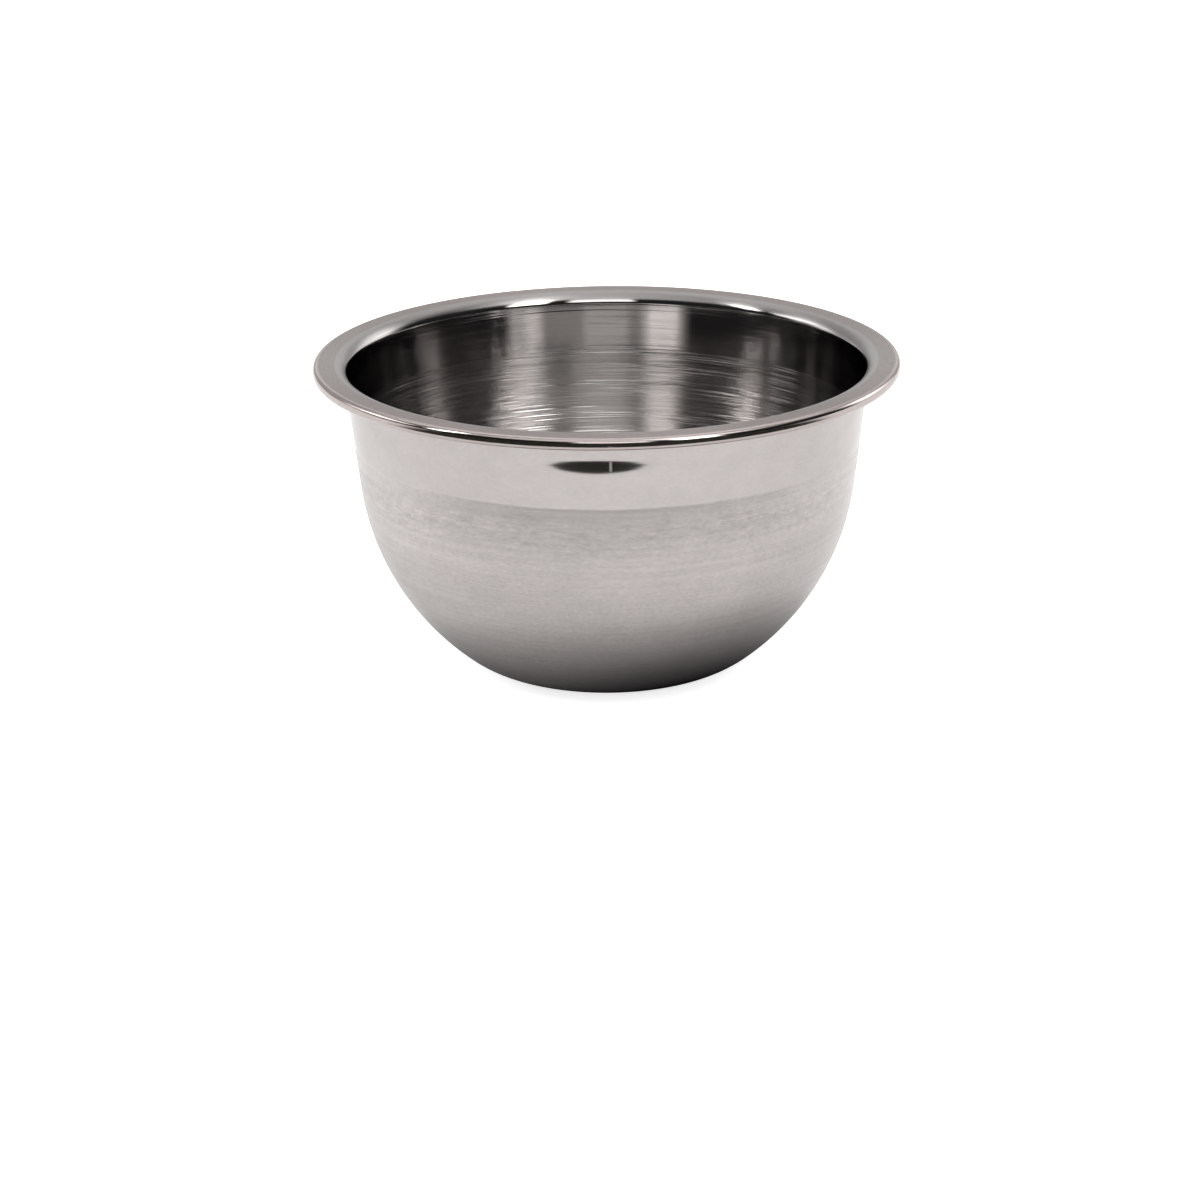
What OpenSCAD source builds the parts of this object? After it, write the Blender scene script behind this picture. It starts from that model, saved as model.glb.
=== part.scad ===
// Shaving bowl: one pressing of thin stainless-steel sheet. Its rim is turned out flat,
// and the edge of the rim is curled down and under.
// The origin is the centre of the flat base, where it rests on the table. +Z is up.

/* [Rim] */
// Outside diameter of the rim
rim_d = 120; // [112:1:130]
// Width of the rim, from the inside of the wall to the outer edge
rim_w = 7.1; // [6.6:0.1:8]
// Radius of the bend from the wall to the rim, on the outside of the bowl
neck_r = 1.8; // [1:0.1:2.2]
// Height of the curl along the edge of the rim
curl_h = 2.4; // [2.2:0.1:3]
// Outside radius of the curl's bends
curl_r = 1; // [0.9:0.05:1.1]

/* [Bowl] */
// Height from the table to the top of the rim
height = 65; // [60:1:75]
// Lean of the upper wall, outwards from vertical, in degrees
lean = 7; // [4:0.5:10]
// Radius of the belly, on the outside of the bowl
belly_r = 52.5; // [48:0.5:56]
// Radius of the heel between the base and the belly, on the outside of the bowl
heel_r = 21; // [16:0.5:26]
// Slope where the heel runs into the belly, in degrees
heel_end = 38; // [32:1:44]

/* [Sheet] */
// Thickness of the sheet
sheet = 0.8; // [0.6:0.05:0.85]

/* [Hidden] */
// Facets in a full turn about the axis, and steps along each bend of the section
$fn = 240;
HEEL_STEPS = 14;
BELLY_STEPS = 22;
NECK_STEPS = 10;
CURL_STEPS = 10;

// Each bend has a centre, [distance from the axis, height]. They are placed from the rim inwards.
curl_top_c = [rim_d / 2 - curl_r, height - curl_r];
curl_low_c = curl_top_c - [0, curl_h - 2 * curl_r];

wall_in_r = rim_d / 2 - rim_w;
neck_c = [wall_in_r + (sheet + neck_r) * cos(lean), height - sheet - neck_r];
wall_top = neck_c - neck_r * [cos(lean), -sin(lean)];

belly_z = heel_r + (belly_r - heel_r) * cos(heel_end);
wall_len = (wall_top[1] - belly_z + belly_r * sin(lean)) / cos(lean);
wall_foot = wall_top - wall_len * [sin(lean), cos(lean)];
belly_c = [wall_foot[0] - belly_r * cos(lean), belly_z];
heel_c = [belly_c[0] + (belly_r - heel_r) * sin(heel_end), heel_r];

// Points along a bend, from angle a0 to angle a1
function bend(centre, r, a0, a1, steps) = [
    for (i = [0 : steps])
        let (a = a0 + (a1 - a0) * i / steps)
        centre + r * [cos(a), sin(a)]
];

// One face of the sheet, from the axis to the end of the curl. A depth of 0 is the face
// outside and under the rim, and a depth of one sheet is the face inside and on top of it.
function face(depth) = concat(
    [[0, depth]],
    bend(heel_c, heel_r - depth, -90, heel_end - 90, HEEL_STEPS),
    bend(belly_c, belly_r - depth, heel_end - 90, -lean, BELLY_STEPS),
    bend(neck_c, neck_r + depth, 180 - lean, 90, NECK_STEPS),
    bend(curl_top_c, curl_r - sheet + depth, 90, 0, CURL_STEPS),
    bend(curl_low_c, curl_r - sheet + depth, 0, -180, 2 * CURL_STEPS)
);

function reverse(points) = [for (i = [len(points) - 1 : -1 : 0]) points[i]];

// The bowl is the section of the sheet turned about the axis
module bowl() {
    color("silver")
        rotate_extrude()
            polygon(concat(face(0), reverse(face(sheet))));
}

bowl();
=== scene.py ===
"""A stainless-steel shaving bowl on a pale studio floor.

The bowl is one pressing of thin sheet, so it is one piece here too: a lathed mesh of both faces of
the sheet, which stands for the CAD node "bowl". It has three finishes. The outside is brushed round
the axis, with a polished band under the rim. The inside is coarsely brushed, with a smoother band at
the top. The rim is satin, and smoother round the curl along its edge.
"""

import math

import bpy
from mathutils import Matrix, Vector


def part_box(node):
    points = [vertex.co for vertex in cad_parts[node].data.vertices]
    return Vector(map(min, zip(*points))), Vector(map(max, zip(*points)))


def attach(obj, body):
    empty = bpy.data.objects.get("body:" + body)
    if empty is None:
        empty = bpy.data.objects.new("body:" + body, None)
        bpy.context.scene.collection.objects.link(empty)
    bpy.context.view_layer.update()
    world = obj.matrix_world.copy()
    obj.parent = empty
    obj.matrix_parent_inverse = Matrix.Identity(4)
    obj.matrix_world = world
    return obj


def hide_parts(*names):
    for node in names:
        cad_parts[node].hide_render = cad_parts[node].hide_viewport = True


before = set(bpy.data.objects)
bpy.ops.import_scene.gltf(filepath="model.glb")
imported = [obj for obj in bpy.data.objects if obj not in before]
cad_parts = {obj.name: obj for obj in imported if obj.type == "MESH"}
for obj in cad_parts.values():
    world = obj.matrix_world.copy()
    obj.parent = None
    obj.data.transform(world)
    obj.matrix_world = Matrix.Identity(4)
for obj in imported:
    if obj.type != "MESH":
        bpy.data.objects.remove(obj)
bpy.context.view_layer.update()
bowl_low, bowl_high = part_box("bowl")

# Sizes are in metres. The rim's diameter and the height are read from the CAD bowl, and the rest
# repeat its parameters.
RIM_D = bowl_high.x - bowl_low.x
HEIGHT = bowl_high.z
SHEET = 0.0008
RIM_W = 0.0071
NECK_R = 0.0018
CURL_H = 0.0024
CURL_R = 0.001
LEAN = math.radians(7)
BELLY_R = 0.0525
HEEL_R = 0.021
HEEL_END = math.radians(38)
# The wall flares a little more just under the rim, which the CAD leaves out. That closes the ends of
# the dark reflection there.
FLARE = 0.0001
FLARE_START = 0.061
FLARE_LENGTH = 0.0015
FLARE_LIMIT = 1.1
FLARE_INSIDE = 0.2
# How finely the mesh follows the turn, the outline's straight runs and the sheet's edge.
SEGMENTS = 360
BASE_STEPS = 6
SIDE_STEPS = 26
RIM_STEPS = 4
EDGE_STEPS = 6

# Heights at which the finish changes, and how soft that edge is.
BAND_LOW = 0.0487
INSIDE_BAND_LOW = 0.0532
EDGE = 0.0006
# Where the outside's worn zone fades in and out, and where the inside turns satin, on its bend.
WORN_FROM = (0.036, 0.041)
WORN_TO = (0.0475, 0.044)
NECK_SATIN = (0.0631, 0.0641)

OUTSIDE, INSIDE, RIM = range(3)
QUARTER = math.pi / 2


# ---------------------------------------------------------------- the bowl's shape


def mix(a, b, share):
    """The point a share of the way from a to b."""
    return (a[0] + (b[0] - a[0]) * share, a[1] + (b[1] - a[1]) * share)


def bend(centre, radius, start, end, step):
    """Points (r, z) along an arc of the outline, about one step of angle apart."""
    count = math.ceil(abs(end - start) / step)
    angles = [start + (end - start) * i / count for i in range(count + 1)]
    return [(centre[0] + radius * math.cos(a), centre[1] + radius * math.sin(a)) for a in angles]


def flared(point, depth):
    """A point of the wall, moved outward by the flare under the rim. The inside face flares less."""
    r, z = point
    up = (z - FLARE_START) / FLARE_LENGTH
    reach = math.exp(min(up, 0)) + min(max(up, 0), FLARE_LIMIT)
    return (r + FLARE * (1 - (1 - FLARE_INSIDE) * depth / SHEET) * reach, z)


def wall_face(depth):
    """One face of the sheet from the base's middle to the neck's top, at a depth in the sheet."""
    neck = (RIM_D / 2 - RIM_W + (SHEET + NECK_R) * math.cos(LEAN), HEIGHT - SHEET - NECK_R)
    wall_top = (neck[0] - NECK_R * math.cos(LEAN), neck[1] + NECK_R * math.sin(LEAN))
    belly_z = HEEL_R + (BELLY_R - HEEL_R) * math.cos(HEEL_END)
    wall = (wall_top[1] - belly_z + BELLY_R * math.sin(LEAN)) / math.cos(LEAN)
    belly_r = wall_top[0] - wall * math.sin(LEAN) - BELLY_R * math.cos(LEAN)
    heel_r = belly_r + (BELLY_R - HEEL_R) * math.sin(HEEL_END)
    step = math.radians(2)
    base = [(heel_r * i / BASE_STEPS, depth) for i in range(BASE_STEPS)]
    heel = bend((heel_r, HEEL_R), HEEL_R - depth, -QUARTER, HEEL_END - QUARTER, step)
    belly = bend((belly_r, belly_z), BELLY_R - depth, HEEL_END - QUARTER, -LEAN, step)
    over = bend(neck, NECK_R + depth, math.pi - LEAN, QUARTER, math.radians(6))
    side = [mix(belly[-1], over[0], 1 - (1 - i / SIDE_STEPS) ** 2) for i in range(1, SIDE_STEPS)]
    return base + heel + belly[1:] + [flared(p, depth) for p in side + over]


def rim_face(depth, last):
    """The same face from the flat of the rim, which starts at last, round the curl to the sheet's edge."""
    step = math.radians(9)
    centre = (RIM_D / 2 - CURL_R, HEIGHT - CURL_R)
    low_centre = (centre[0], centre[1] - CURL_H + 2 * CURL_R)
    top = bend(centre, CURL_R - SHEET + depth, QUARTER, 0, step)
    under = bend(low_centre, CURL_R - SHEET + depth, 0, -math.pi, step)
    return [mix(last, top[0], i / RIM_STEPS) for i in range(1, RIM_STEPS)] + top + under


def outline():
    """The outline from the axis under the base to the axis inside, and the finish after each point."""
    wall, lining = wall_face(0), wall_face(SHEET)
    under, over = rim_face(0, wall[-1]), rim_face(SHEET, lining[-1])
    middle = mix(under[-1], over[-1], 0.5)
    edge = [(middle[0] + math.cos(a) * SHEET / 2, middle[1] + math.sin(a) * SHEET / 5)
            for a in (math.pi * i / EDGE_STEPS for i in range(1, EDGE_STEPS))]
    points = wall + under + edge + over[::-1] + lining[::-1]
    finishes = [OUTSIDE] * (len(wall) + len(under)) + [RIM] * (len(edge) + len(over))
    return points, finishes + [INSIDE] * len(lining)


def lathe(name, points, finishes):
    """Turns an outline that starts and ends on the axis into a closed mesh.

    Its UV map holds turns round the axis and metres along the outline.
    """
    run = [0.0]
    for a, b in zip(points, points[1:]):
        run.append(run[-1] + math.dist(a, b))
    turns = [2 * math.pi * s / SEGMENTS for s in range(SEGMENTS)]
    verts = [(r * math.cos(t), r * math.sin(t), z) for r, z in points[1:-1] for t in turns]
    first, last = len(verts), len(verts) + 1
    verts += [(0, 0, points[0][1]), (0, 0, points[-1][1])]
    faces, uvs, slots = [], [], []
    for s in range(SEGMENTS):
        t = (s + 1) % SEGMENTS
        u, v = s / SEGMENTS, (s + 1) / SEGMENTS
        faces.append((first, t, s))
        uvs += [(u + v) / 2, run[0], v, run[1], u, run[1]]
        slots.append(finishes[0])
        for i in range(len(points) - 3):
            a, b = i * SEGMENTS, (i + 1) * SEGMENTS
            faces.append((a + s, a + t, b + t, b + s))
            uvs += [u, run[i + 1], v, run[i + 1], v, run[i + 2], u, run[i + 2]]
            slots.append(finishes[i + 1])
        a = (len(points) - 3) * SEGMENTS
        faces.append((a + s, a + t, last))
        uvs += [u, run[-2], v, run[-2], (u + v) / 2, run[-1]]
        slots.append(finishes[-1])
    mesh = bpy.data.meshes.new(name)
    mesh.from_pydata(verts, [], faces)
    mesh.uv_layers.new(name="lathe").data.foreach_set("uv", uvs)
    mesh.polygons.foreach_set("material_index", slots)
    mesh.shade_smooth()
    return mesh


# ---------------------------------------------------------------- node helpers


class Nodes:
    """Adds nodes to a tree. An input is a number, a tuple or another node's output."""

    def __init__(self, tree):
        self.tree = tree
        tree.nodes.clear()

    def add(self, kind, *inputs, **settings):
        """A node with its first inputs filled in order. Returns the node."""
        node = self.tree.nodes.new(kind)
        for name, value in settings.items():
            setattr(node, name, value)
        for socket, value in zip(node.inputs, inputs):
            self.fill(socket, value)
        return node

    def fill(self, socket, value):
        """Links a socket to another node's output, or sets its value."""
        if isinstance(value, bpy.types.NodeSocket):
            self.tree.links.new(value, socket)
        elif value is not None:
            socket.default_value = value

    def math(self, operation, *inputs):
        """A Math node's value."""
        return self.add("ShaderNodeMath", *inputs, operation=operation).outputs[0]

    def ramp(self, value, start, end, low=0.0, high=1.0):
        """low below start and high above end, with a smooth rise between them."""
        settings = dict(interpolation_type="SMOOTHSTEP")
        return self.add("ShaderNodeMapRange", value, start, end, low, high, **settings).outputs[0]

    def noise(self, vector, detail=2.0, rough=0.5):
        """A noise texture's value at a place given in features."""
        node = self.add("ShaderNodeTexNoise", noise_dimensions="3D")
        self.fill(node.inputs["Vector"], vector)
        self.fill(node.inputs["Scale"], 1.0)
        self.fill(node.inputs["Detail"], detail)
        self.fill(node.inputs["Roughness"], rough)
        return node.outputs["Factor"] if "Factor" in node.outputs else node.outputs["Fac"]


# ---------------------------------------------------------------- materials


class Sheet(Nodes):
    """A steel material with coordinates that follow the lathed sheet."""

    def __init__(self, name):
        self.material = bpy.data.materials.new(name)
        self.material.use_nodes = True
        super().__init__(self.material.node_tree)
        place = self.add("ShaderNodeTexCoord").outputs["Object"]
        split = self.add("ShaderNodeSeparateXYZ", place)
        x, y, self.z = split.outputs
        squares = self.math("MULTIPLY_ADD", x, x, self.math("MULTIPLY", y, y))
        self.radius = self.math("SQRT", squares)
        self.cos = self.math("DIVIDE", x, self.radius)
        self.sin = self.math("DIVIDE", y, self.radius)
        uv = self.add("ShaderNodeUVMap", uv_map="lathe").outputs[0]
        self.run = self.add("ShaderNodeSeparateXYZ", uv).outputs[1]

    def streaks(self, length, width, detail=2.0, rough=0.5, shift=0.0):
        """Noise drawn out round the axis into streaks of about this length, at the rim, and width."""
        reach = RIM_D / 2 / length
        along = self.math("MULTIPLY_ADD", self.run, 1 / width, shift)
        place = self.add(
            "ShaderNodeCombineXYZ",
            self.math("MULTIPLY", self.cos, reach),
            self.math("MULTIPLY", self.sin, reach),
            along,
        )
        return self.noise(place.outputs[0], detail, rough)

    def uneven(self, *sizes):
        """The same streaks, evenly above and below nothing."""
        return self.math("SUBTRACT", self.streaks(*sizes), 0.5)

    def finish(self, colour, roughness, bumps, anisotropy):
        """The steel itself. bumps are pairs of height and distance, from the coarsest to the finest."""
        normal = None
        for height, distance in bumps:
            bump = self.add("ShaderNodeBump")
            self.fill(bump.inputs["Strength"], 1.0)
            self.fill(bump.inputs["Distance"], distance)
            self.fill(bump.inputs["Height"], height)
            self.fill(bump.inputs["Normal"], normal)
            normal = bump.outputs[0]
        steel = self.add("ShaderNodeBsdfPrincipled")
        self.fill(steel.inputs["Base Color"], colour)
        self.fill(steel.inputs["Metallic"], 1.0)
        self.fill(steel.inputs["Roughness"], roughness)
        self.fill(steel.inputs["Normal"], normal)
        self.fill(steel.inputs["Anisotropic"], anisotropy)
        # A quarter turn from the tangent, so that highlights are drawn out across the brushing.
        self.fill(steel.inputs["Anisotropic Rotation"], 0.25)
        tangent = self.add("ShaderNodeTangent", direction_type="RADIAL", axis="Z")
        self.fill(steel.inputs["Tangent"], tangent.outputs[0])
        self.add("ShaderNodeOutputMaterial", steel.outputs[0])
        return self.material

    def tint(self, shade, grey):
        """A grey of the steel, darkened or lightened by a shade."""
        scale = self.add("ShaderNodeVectorMath", grey, operation="SCALE")
        self.fill(scale.inputs["Scale"], shade)
        return scale.outputs[0]


# Greys of the steel outside, inside and on the rim. The inside's is lighter, to balance the
# studio's fade.
STEEL = (0.594, 0.558, 0.545)
STEEL_INSIDE = (0.665, 0.641, 0.629)
STEEL_RIM = (0.594, 0.532, 0.513)
# How much of that grey the smoothest part of each finish shows, and what its other parts add. On the
# rim's satin and on the inside's bend at the top, the darker part is painted shade.
BAND_SHADE = 1.01
BRUSHED_SHADE = 0.03
WORN_SHADE = -0.03
INSIDE_SHADE = 0.97
# Painted shade: the inside's bend at the top is darker, to meet the rim.
NECK_PAINTED_SHADE = -0.28
CURL_SHADE = 1.0
# Painted shade: the rim's satin flat and neck are darker than its curl.
RIM_PAINTED_SHADE = -0.30
# How rough the smoothest part of each finish is, and what its other parts and marks add.
BAND_ROUGH = 0.02
BRUSHED_ROUGH = 0.17
COARSE_ROUGH = 0.08
INSIDE_ROUGH = 0.06
INSIDE_BRUSHED_ROUGH = 0.08
INSIDE_COARSE_ROUGH = 0.05
NECK_ROUGH = 0.24
CURL_ROUGH = 0.13
RIM_ROUGH = 0.17
RIM_BRUSH_ROUGH = 0.1
# The marks of each finish, as Sheet.streaks takes them: length and width in metres, the noise's
# detail and roughness, and a shift in widths that keeps two kinds of mark from lining up.
WANDER = (0.03, 0.02, 1.0)
COARSE = (0.04, 0.0012, 2.0, 0.6, 7.0)
WORN = (0.004, 0.0012, 4.0, 0.75, 3.0)
LINES = (0.06, 0.0008, 2.0, 0.6, 21.0)
GRAIN = (0.0011, 0.0004, 2.0, 0.7, 41.0)
CLOUD = (0.008, 0.005, 3.0, 0.6, 51.0)
WAVES = (0.03, 0.012, 1.0, 0.4, 11.0)
INSIDE_SCOUR = (0.03, 0.004, 2.0, 0.6, 71.0)
INSIDE_FINE = (0.10, 0.0003, 1.0, 0.5)
INSIDE_COARSE = (0.14, 0.0007, 3.0, 0.55, 5.0)
INSIDE_LINES = (0.12, 0.0005, 3.0, 0.6, 31.0)
INSIDE_GRAIN = (0.003, 0.0006, 2.0, 0.7, 61.0)
RIM_BRUSH = (0.004, 0.0005, 3.0, 0.6)
RIM_GRAIN = (0.0015, 0.0005, 2.0, 0.7, 81.0)


def outside_steel():
    """Brushed steel with a polished band above BAND_LOW."""
    s = Sheet("steel_outside")
    wander = s.streaks(*WANDER)
    level = s.math("MULTIPLY_ADD", wander, EDGE * 2, s.math("SUBTRACT", s.z, EDGE))
    band = s.ramp(level, BAND_LOW - EDGE, BAND_LOW + EDGE / 2)
    brushed = s.math("SUBTRACT", 1.0, band)
    coarse = s.streaks(*COARSE)
    roughness = s.math("MULTIPLY_ADD", coarse, COARSE_ROUGH, BRUSHED_ROUGH)
    roughness = s.math("MULTIPLY_ADD", roughness, brushed, BAND_ROUGH)
    worn = s.math("MULTIPLY", s.ramp(s.z, *WORN_FROM), s.ramp(s.z, *WORN_TO))
    patchy = s.math("MULTIPLY", s.uneven(*WORN), worn)
    lines = s.math("MULTIPLY", s.uneven(*LINES), brushed)
    clear = s.math("MULTIPLY_ADD", brushed, 0.6, 0.4)
    grain = s.math("MULTIPLY", s.uneven(*GRAIN), clear)
    cloud = s.uneven(*CLOUD)
    shade = s.math("MULTIPLY_ADD", brushed, BRUSHED_SHADE, BAND_SHADE)
    shade = s.math("MULTIPLY_ADD", worn, WORN_SHADE, shade)
    for marks, depth in ((patchy, 0.58), (lines, 0.20), (grain, 0.38), (cloud, 0.16)):
        shade = s.math("MULTIPLY_ADD", marks, depth, shade)
    waves = s.streaks(*WAVES)
    bumps = [(waves, 0.0000005), (s.math("MULTIPLY", coarse, brushed), 0.000006)]
    return s.finish(s.tint(shade, STEEL), roughness, bumps, anisotropy=0.6)


def inside_steel():
    """Coarsely brushed steel, smoother above INSIDE_BAND_LOW, and satin on the bend at the top, where
    painted shade darkens it to the rim's grey.
    """
    s = Sheet("steel_inside")
    satin_and_painted_shade = s.ramp(s.z, *NECK_SATIN)
    brushed = s.ramp(s.z, INSIDE_BAND_LOW, INSIDE_BAND_LOW - EDGE)
    depth = s.math("MULTIPLY_ADD", satin_and_painted_shade, -0.15, s.math("MULTIPLY_ADD", brushed, 0.85, 0.15))
    scoured = s.ramp(s.streaks(*INSIDE_SCOUR), 0.35, 0.65, 0.35, 1.3)
    depth = s.math("MULTIPLY", depth, scoured)
    fine = s.math("MULTIPLY", s.uneven(*INSIDE_FINE), depth)
    coarse = s.math("MULTIPLY", s.uneven(*INSIDE_COARSE), depth)
    lines = s.math("MULTIPLY", s.uneven(*INSIDE_LINES), depth)
    roughness = s.math("MULTIPLY_ADD", brushed, INSIDE_BRUSHED_ROUGH, INSIDE_ROUGH)
    roughness = s.math("MULTIPLY_ADD", coarse, INSIDE_COARSE_ROUGH, roughness)
    roughness = s.math("MULTIPLY_ADD", satin_and_painted_shade, NECK_ROUGH, roughness)
    # Painted shade: the bend at the top is darkened to meet the rim's grey.
    shade = s.math("MULTIPLY_ADD", satin_and_painted_shade, NECK_PAINTED_SHADE, INSIDE_SHADE)
    for marks, amount in ((lines, 0.7), (s.uneven(*INSIDE_GRAIN), 0.12)):
        shade = s.math("MULTIPLY_ADD", marks, amount, shade)
    bumps = [(coarse, 0.00014), (fine, 0.00004)]
    return s.finish(s.tint(shade, STEEL_INSIDE), roughness, bumps, anisotropy=0.9)


def rim_steel():
    """Satin steel on the rim, smoother round the curl. The satin's darker grey is painted shade."""
    s = Sheet("steel_rim")
    flat_end = RIM_D / 2 - CURL_R
    satin_and_painted_shade = s.ramp(s.radius, flat_end + EDGE / 2, flat_end - EDGE / 2)
    brush = s.math("MULTIPLY", s.streaks(*RIM_BRUSH), satin_and_painted_shade)
    roughness = s.math("MULTIPLY_ADD", satin_and_painted_shade, RIM_ROUGH, CURL_ROUGH)
    roughness = s.math("MULTIPLY_ADD", brush, RIM_BRUSH_ROUGH, roughness)
    # Painted shade: the flat and neck are darkened from the curl's grey, to dim what they reflect.
    shade = s.math("MULTIPLY_ADD", satin_and_painted_shade, RIM_PAINTED_SHADE, CURL_SHADE)
    shade = s.math("MULTIPLY_ADD", s.uneven(*RIM_GRAIN), 0.25, shade)
    return s.finish(s.tint(shade, STEEL_RIM), roughness, [(brush, 0.00001)], anisotropy=0.85)


def make_bowl():
    """The bowl, with its three finishes."""
    points, finishes = outline()
    bowl = bpy.data.objects.new("shaving_bowl", lathe("shaving_bowl", points, finishes))
    bpy.context.scene.collection.objects.link(bowl)
    for material in (outside_steel(), inside_steel(), rim_steel()):
        bowl.data.materials.append(material)
    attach(bowl, "root")
    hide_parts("bowl")


# ---------------------------------------------------------------- camera and studio

# The distance from the bowl's middle, in metres, is a choice, since the photograph hardly fixes it.
# The angles, in radians, and the lens, in millimetres, are solved from the photograph for it.
CAMERA_DISTANCE = 0.9
CAMERA_ABOVE = 0.3003
CAMERA_DOWN = 0.3211
CAMERA_ASIDE = -0.0022
CAMERA_ROLL = -0.0117
CAMERA_LENS = 130.6
CAMERA_SENSOR = 36


def make_camera():
    """The camera, in front of the bowl and a little above it."""
    data = bpy.data.cameras.new("camera")
    data.lens = CAMERA_LENS
    data.sensor_width = CAMERA_SENSOR
    data.clip_start, data.clip_end = 0.01, 50
    camera = bpy.data.objects.new("camera", data)
    bpy.context.scene.collection.objects.link(camera)
    bpy.context.scene.camera = camera
    place = Vector((0, -math.cos(CAMERA_ABOVE), math.sin(CAMERA_ABOVE))) * CAMERA_DISTANCE
    turn = Matrix.Rotation(-CAMERA_ASIDE, 4, "Z") @ Matrix.Rotation(QUARTER - CAMERA_DOWN, 4, "X")
    turn = turn @ Matrix.Rotation(CAMERA_ROLL, 4, "Z")
    camera.matrix_world = Matrix.Translation(place + Vector((0, 0, HEIGHT / 2))) @ turn


# Lights, as soft-edged patches of the surroundings: the way to the middle and the half width in
# degrees round from the front, positive to the right, the lowest and highest angle above the
# horizon, how soft the edges are, and the brightness added.
LIGHTS = [
    (180, 72, -10, 100, 14, 0.50),
    (180, 20, 7, 60, 10, 0.32),
    (0, 400, 42, 100, 14, 0.38),
    (5, 80, 42, 100, 14, 0.60),
    (-107, 15, 8, 30, 12, 0.80),
    (-99, 14, 17, 34, 5, 1.50),
    (-74, 5, 27, 50, 4, 7.00),
    (130, 16, 2, 34, 14, 0.75),
    (128, 13, 15, 34, 5, 0.80),
    (52, 26, 46, 76, 8, 0.80),
    (37, 9, 20, 46, 5, 5.00),
    (2, 15, 16, 38, 5, 1.70),
]
# The brightness between the patches. All of it fades on rays that have met more than two surfaces.
GLOOM = 0.03
FADE = (3.0, 4.7, 1.0, 0.05)


class World(Nodes):
    """The surroundings, drawn by direction."""

    def __init__(self):
        world = bpy.data.worlds.new("studio")
        world.use_nodes = True
        bpy.context.scene.world = world
        super().__init__(world.node_tree)
        way = self.add("ShaderNodeSeparateXYZ", self.add("ShaderNodeTexCoord").outputs["Generated"])
        x, y, z = way.outputs
        self.around = self.math("ARCTAN2", x, self.math("MULTIPLY", y, -1.0))
        self.above = self.math("ARCSINE", z)

    def patch(self, middle, half, low, high, soft, strength):
        """One soft-edged patch of light."""
        middle, half, low, high, soft = map(math.radians, (middle, half, low, high, soft))
        away = self.math("WRAP", self.math("SUBTRACT", self.around, middle), math.pi, -math.pi)
        away = self.math("ABSOLUTE", away)
        wide = self.ramp(away, half + soft / 2, half - soft / 2)
        up = self.ramp(self.above, low - soft / 2, low + soft / 2)
        down = self.ramp(self.above, high + soft / 2, high - soft / 2)
        inside = self.math("MULTIPLY", wide, self.math("MULTIPLY", up, down))
        return self.math("MULTIPLY", inside, strength)

    def draw(self):
        """Sums the patches, and puts plain white where the camera looks past the floor.

        The fade gives the inside of the bowl the photograph's strong contrast.
        """
        total = GLOOM
        for light in LIGHTS:
            total = self.math("ADD", self.patch(*light), total)
        path = self.add("ShaderNodeLightPath")
        total = self.math("MULTIPLY", total, self.ramp(path.outputs["Ray Depth"], *FADE))
        lit = self.add("ShaderNodeBackground", (1, 1, 1, 1), total)
        plain = self.add("ShaderNodeBackground", (1, 1, 1, 1), 1.0)
        seen = path.outputs["Is Camera Ray"]
        both = self.add("ShaderNodeMixShader", seen, lit.outputs[0], plain.outputs[0])
        self.add("ShaderNodeOutputWorld", both.outputs[0])


def flat(name, rings, start=-math.pi, end=math.pi, centre=(0, 0), segments=96):
    """A flat disc, ring or sector of the stage, from its rings' radii and heights.

    Angle 0 is the front.
    """
    verts, faces = [], []
    for r, z in rings:
        for s in range(segments + 1):
            a = start + (end - start) * s / segments
            verts.append((centre[0] + r * math.sin(a), centre[1] - r * math.cos(a), z))
    row = segments + 1
    for i in range(len(rings) - 1):
        for s in range(segments):
            a, b = i * row + s, (i + 1) * row + s
            faces.append((a, b, b + 1, a + 1))
    mesh = bpy.data.meshes.new(name)
    mesh.from_pydata(verts, [], faces)
    thing = bpy.data.objects.new(name, mesh)
    bpy.context.scene.collection.objects.link(thing)
    return thing


def only_reflected(thing):
    """Shows a card in the steel, and nowhere else."""
    thing.visible_camera = False
    thing.visible_diffuse = False
    thing.visible_shadow = False
    thing.visible_transmission = False


# The floor's rings, white, own glow, and the extra glow that only the camera sees. The steel sees
# a painted shadow, dark at a spot under the bowl and white again past the farther of two distances.
FLOOR_RINGS = (0.0001, 0.05, 0.2, 1, 6)
FLOOR_WHITE = 0.9
FLOOR_GLOW = 0.21
CAMERA_GLOW = 0.6
PAINTED_SHADOW_MIDDLE = (0.006, -0.005, 0)
PAINTED_SHADOW_REACH = (0.018, 0.055)


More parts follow.
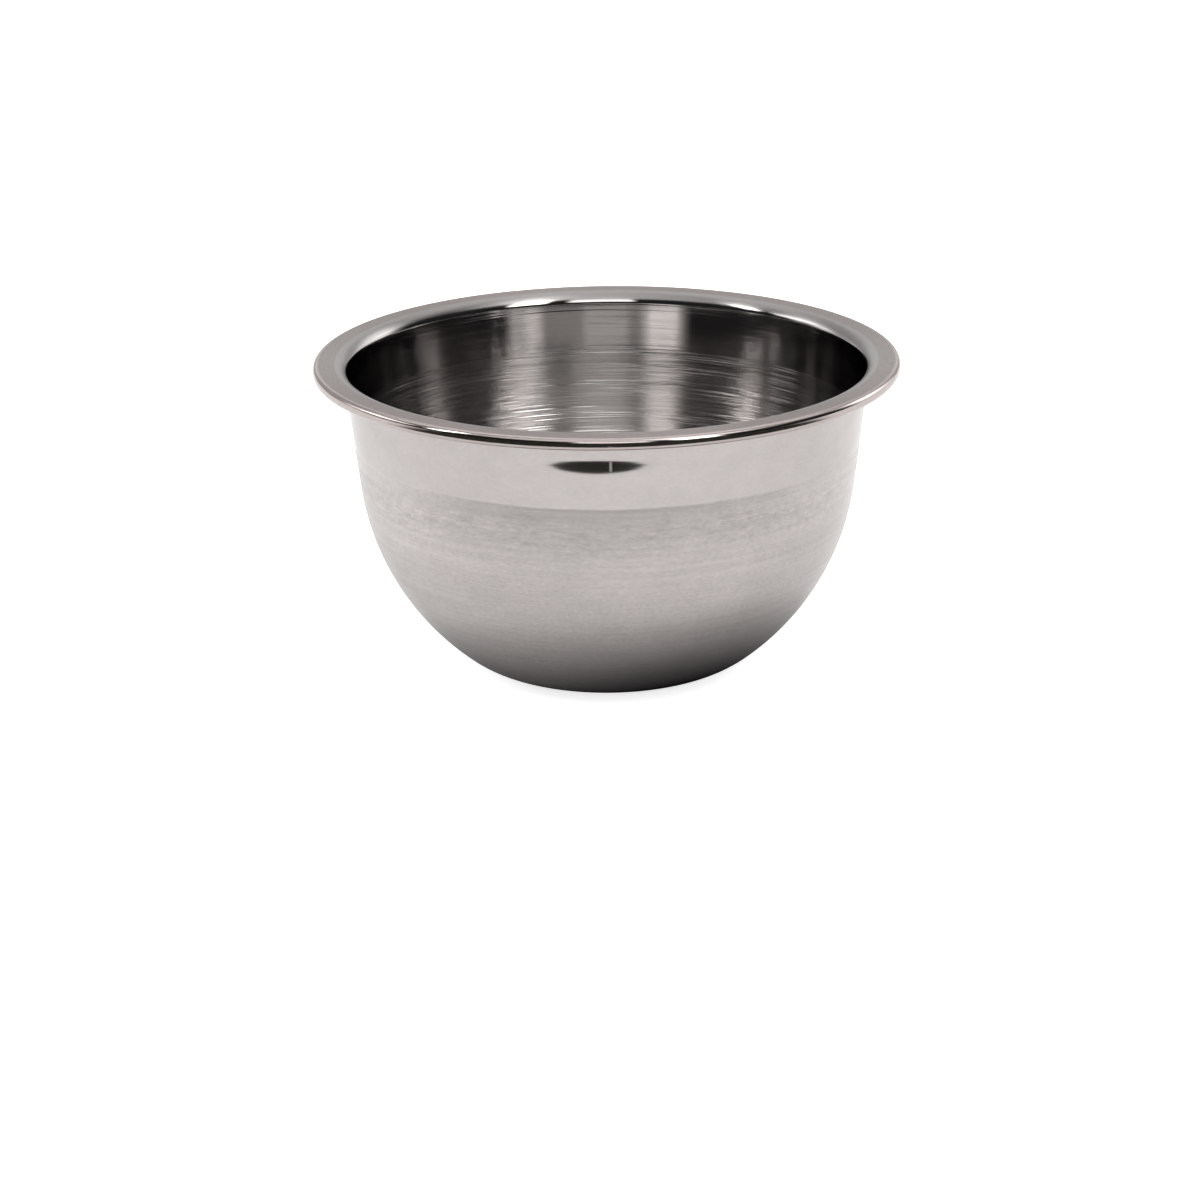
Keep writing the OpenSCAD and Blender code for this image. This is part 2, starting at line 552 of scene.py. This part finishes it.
def floor_material():
    """Matt white. The steel sees a painted shadow on it under the bowl; the camera sees it nearly white.
    """
    material = bpy.data.materials.new("floor_white")
    material.use_nodes = True
    nodes = Nodes(material.node_tree)
    place = nodes.add("ShaderNodeTexCoord").outputs["Object"]
    # Painted shadow: for rays reflected off the steel, the white and the glow fall dark towards a spot
    # under the bowl.
    offset = nodes.add("ShaderNodeVectorMath", place, PAINTED_SHADOW_MIDDLE, operation="DISTANCE")
    away = offset.outputs["Value"]
    near = nodes.add("ShaderNodeMapRange", away, *PAINTED_SHADOW_REACH, 0.0, 1.0).outputs[0]
    path = nodes.add("ShaderNodeLightPath")
    shade = nodes.math("SUBTRACT", 1.0, path.outputs["Is Glossy Ray"])
    shade = nodes.math("MAXIMUM", near, shade)
    white = nodes.math("MULTIPLY", shade, FLOOR_WHITE)
    colour = nodes.add("ShaderNodeCombineXYZ", white, white, white).outputs[0]
    matt = nodes.add("ShaderNodeBsdfDiffuse", colour)
    glow = nodes.math("MULTIPLY", shade, FLOOR_GLOW)
    glow = nodes.math("MULTIPLY_ADD", path.outputs["Is Camera Ray"], CAMERA_GLOW, glow)
    glow = nodes.add("ShaderNodeEmission", (1, 1, 1, 1), glow)
    both = nodes.add("ShaderNodeAddShader", matt.outputs[0], glow.outputs[0])
    nodes.add("ShaderNodeOutputMaterial", both.outputs[0])
    return material


def card_material(name, colour, strength, mottle=0.0, ends=None):
    """A card that gives its own even light, with a little unevenness across it.

    With ends, the angles at which a sector stops, it fades out towards both of them.
    """
    material = bpy.data.materials.new(name)
    material.use_nodes = True
    nodes = Nodes(material.node_tree)
    place = nodes.add("ShaderNodeTexCoord").outputs["Object"]
    spread = nodes.add("ShaderNodeVectorMath", place, MOTTLE_SCALE, operation="MULTIPLY")
    patches = nodes.noise(spread.outputs[0])
    level = nodes.math("MULTIPLY_ADD", patches, strength * mottle, strength * (1 - mottle / 2))
    card = nodes.add("ShaderNodeEmission", (*colour, 1), level).outputs[0]
    if ends:
        x, y, _ = nodes.add("ShaderNodeSeparateXYZ", place).outputs
        x = nodes.math("SUBTRACT", x, TABLE_MIDDLE[0])
        front = nodes.math("SUBTRACT", TABLE_MIDDLE[1], y)
        angle = nodes.math("ARCTAN2", x, front)
        left = nodes.ramp(angle, ends[0], ends[0] + END_FADE)
        right = nodes.ramp(angle, ends[1], ends[1] - END_FADE)
        clear = nodes.add("ShaderNodeBsdfTransparent").outputs[0]
        share = nodes.math("MULTIPLY", left, right)
        card = nodes.add("ShaderNodeMixShader", share, clear, card).outputs[0]
    nodes.add("ShaderNodeOutputMaterial", card)
    return material


# The bowl stands on a round white table. In front of its edge the room is dark, but for one thin
# gap. The cards lie just above the floor.
TABLE_R = 0.1904
TABLE_MIDDLE = (0.0023, 0.0446)
DARK_ANGLES = (math.radians(-74), math.radians(79))
END_FADE = math.radians(14)
DARK_COLOUR = (0.95, 1, 0.87)
DARK_LEVEL = 0.047
DARK_MOTTLE = 0.35
MOTTLE_SCALE = (150, 12, 1)
DARK_Z = 0.0002
DARK_RINGS = (TABLE_R, 0.6, 5)
GAP_X = (0.0016, 0.0042)
GAP_LENGTH = 0.1
GAP_LEVEL = 0.55
GAP_Z = 0.0004


def make_stage():
    """A pale floor that reaches well past every view, and the dark front that the steel reflects."""
    floor = flat("floor", [(r, 0) for r in FLOOR_RINGS])
    floor.data.materials.append(floor_material())
    rings = [(r, DARK_Z) for r in DARK_RINGS]
    dark = flat("dark_front", rings, *DARK_ANGLES, TABLE_MIDDLE)
    card = card_material("dark_card", DARK_COLOUR, DARK_LEVEL, DARK_MOTTLE, DARK_ANGLES)
    dark.data.materials.append(card)
    near = TABLE_MIDDLE[1] - TABLE_R
    mesh = bpy.data.meshes.new("gap")
    left, right = GAP_X
    spots = ((left, 0), (left, GAP_LENGTH), (right, GAP_LENGTH), (right, 0))
    corners = [(x, near - y, GAP_Z) for x, y in spots]
    mesh.from_pydata(corners, [], [(0, 1, 2, 3)])
    gap = bpy.data.objects.new("gap", mesh)
    bpy.context.scene.collection.objects.link(gap)
    gap.data.materials.append(card_material("gap_card", (1, 1, 1), GAP_LEVEL))
    only_reflected(dark)
    only_reflected(gap)


# Brings the view near to the photograph's raised contrast.
VIEW_GAMMA = 0.85

make_camera()
World().draw()
make_stage()
make_bowl()
bpy.context.scene.view_settings.view_transform = "Standard"
bpy.context.scene.view_settings.gamma = VIEW_GAMMA
